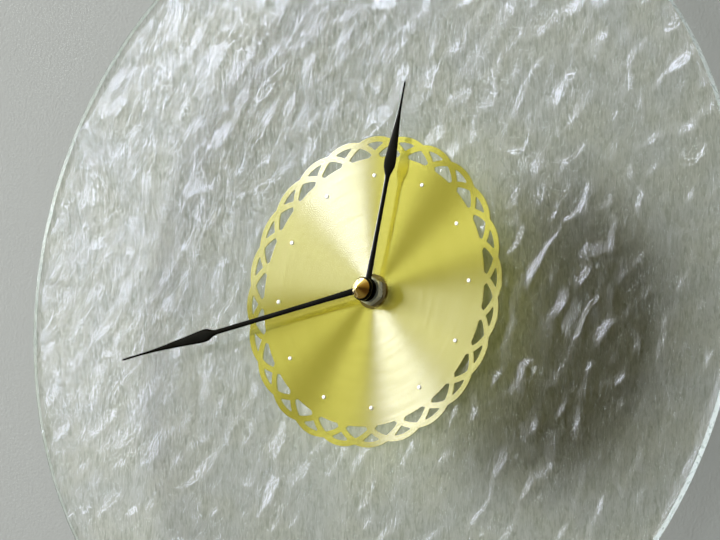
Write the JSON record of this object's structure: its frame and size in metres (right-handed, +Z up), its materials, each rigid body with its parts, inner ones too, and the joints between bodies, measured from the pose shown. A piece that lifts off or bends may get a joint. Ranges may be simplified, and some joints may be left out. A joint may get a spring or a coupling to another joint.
{
  "type": "wall clock",
  "caption": "Round textured-glass wall clock with a pierced, brushed brass dial, dot hour markers, black spade hands and a gear-driven quartz movement behind the glass.",
  "frame": {"origin": "on the hands' axis, on the flat back of the movement where it lies on the wall", "axes": "+Y points into the wall, +Z up towards twelve, +X towards three; the dial faces -Y"},
  "size_m": [0.3999, 0.0373, 0.4],
  "materials": {
    "glass_clear": "rolled, hammered surface, ground edge",
    "brass_brushed": "circular brushed",
    "brass_polished": "polished",
    "brass_plain": "turned",
    "nickel": "bright nickel plate",
    "black_metal": "black anodised, satin",
    "case_plastic": "fine texture",
    "gear_white": "moulded",
    "gear_green": "moulded",
    "plate_plastic": "moulded",
    "rubber_black": "matt",
    "vinyl_clear": "clear",
    "steel": "ground",
    "zinc_steel": "zinc plated",
    "spring_bronze": "rolled",
    "board_green": "solder mask",
    "chip_black": "epoxy",
    "magnet": "sintered",
    "copper_wire": "enamelled wire",
    "cell_sleeve": "shrink sleeve"
  },
  "bodies": {
    "clock": {"glass_disc": "glass_clear", "dial_plate": "brass_brushed", "hour_markers": "nickel", "rubber_grommet": "rubber_black", "dial_pad": "vinyl_clear", "nut_washer": "nickel", "hex_nut": "nickel", "mounting_bush": "brass_plain", "hanger_bracket": "zinc_steel", "case_front": "case_plastic", "case_back": "case_plastic", "middle_plate": "plate_plastic", "stator": "steel", "coil_core": "steel", "coil_bobbin": "plate_plastic", "coil_winding": "copper_wire", "circuit_board": "board_green", "chip_cover": "chip_black", "quartz_crystal": "nickel", "battery_cell": "cell_sleeve", "battery_contact_plus": "nickel", "battery_contact_minus": "nickel"},
    "minute": {"minute_hand": "black_metal", "minute_hand_collet": "black_metal", "minute_arbor": "brass_plain", "minute_wheel": "gear_white", "clutch_spring": "spring_bronze", "cap_nut": "brass_polished"},
    "hour": {"hour_hand": "black_metal", "hour_hand_collet": "black_metal", "hour_wheel": "gear_white"},
    "setting": {"motion_wheel": "gear_white", "setting_knob": "gear_white"},
    "third": {"third_wheel": "gear_green"},
    "seconds": {"seconds_wheel": "gear_green", "seconds_arbor": "steel"},
    "intermediate": {"intermediate_wheel": "gear_white"},
    "rotor": {"rotor_pinion": "gear_white", "rotor_magnet": "magnet"}
  },
  "joints": [
    {"name": "minute_turn", "type": "hinge", "parent": "clock", "child": "minute", "pos_m": [0, -0.01, 0], "axis": [0, 1, 0], "continuous": true},
    {"name": "hour_turn", "type": "hinge", "parent": "clock", "child": "hour", "pos_m": [0, -0.01, 0], "axis": [0, 1, 0], "continuous": true},
    {"name": "setting_turn", "type": "hinge", "parent": "clock", "child": "setting", "pos_m": [-0.00899, -0.01, 0.00438], "axis": [0, 1, 0], "continuous": true},
    {"name": "third_turn", "type": "hinge", "parent": "clock", "child": "third", "pos_m": [0.00945, -0.01, 0.00184], "axis": [0, 1, 0], "continuous": true},
    {"name": "seconds_turn", "type": "hinge", "parent": "clock", "child": "seconds", "pos_m": [0, -0.01, 0], "axis": [0, 1, 0], "continuous": true},
    {"name": "intermediate_turn", "type": "hinge", "parent": "clock", "child": "intermediate", "pos_m": [0.00052, -0.01, 0.00748], "axis": [0, 1, 0], "continuous": true},
    {"name": "rotor_turn", "type": "hinge", "parent": "clock", "child": "rotor", "pos_m": [0.00573, -0.01, 0.01185], "axis": [0, 1, 0], "continuous": true}
  ],
  "couplings": [
    {"joint": "hour_turn", "follows": "minute_turn", "ratio": 0.083333},
    {"joint": "setting_turn", "follows": "minute_turn", "ratio": -0.33333},
    {"joint": "third_turn", "follows": "minute_turn", "ratio": -10},
    {"joint": "seconds_turn", "follows": "minute_turn", "ratio": 60},
    {"joint": "intermediate_turn", "follows": "minute_turn", "ratio": -240},
    {"joint": "rotor_turn", "follows": "minute_turn", "ratio": 1800}
  ]
}
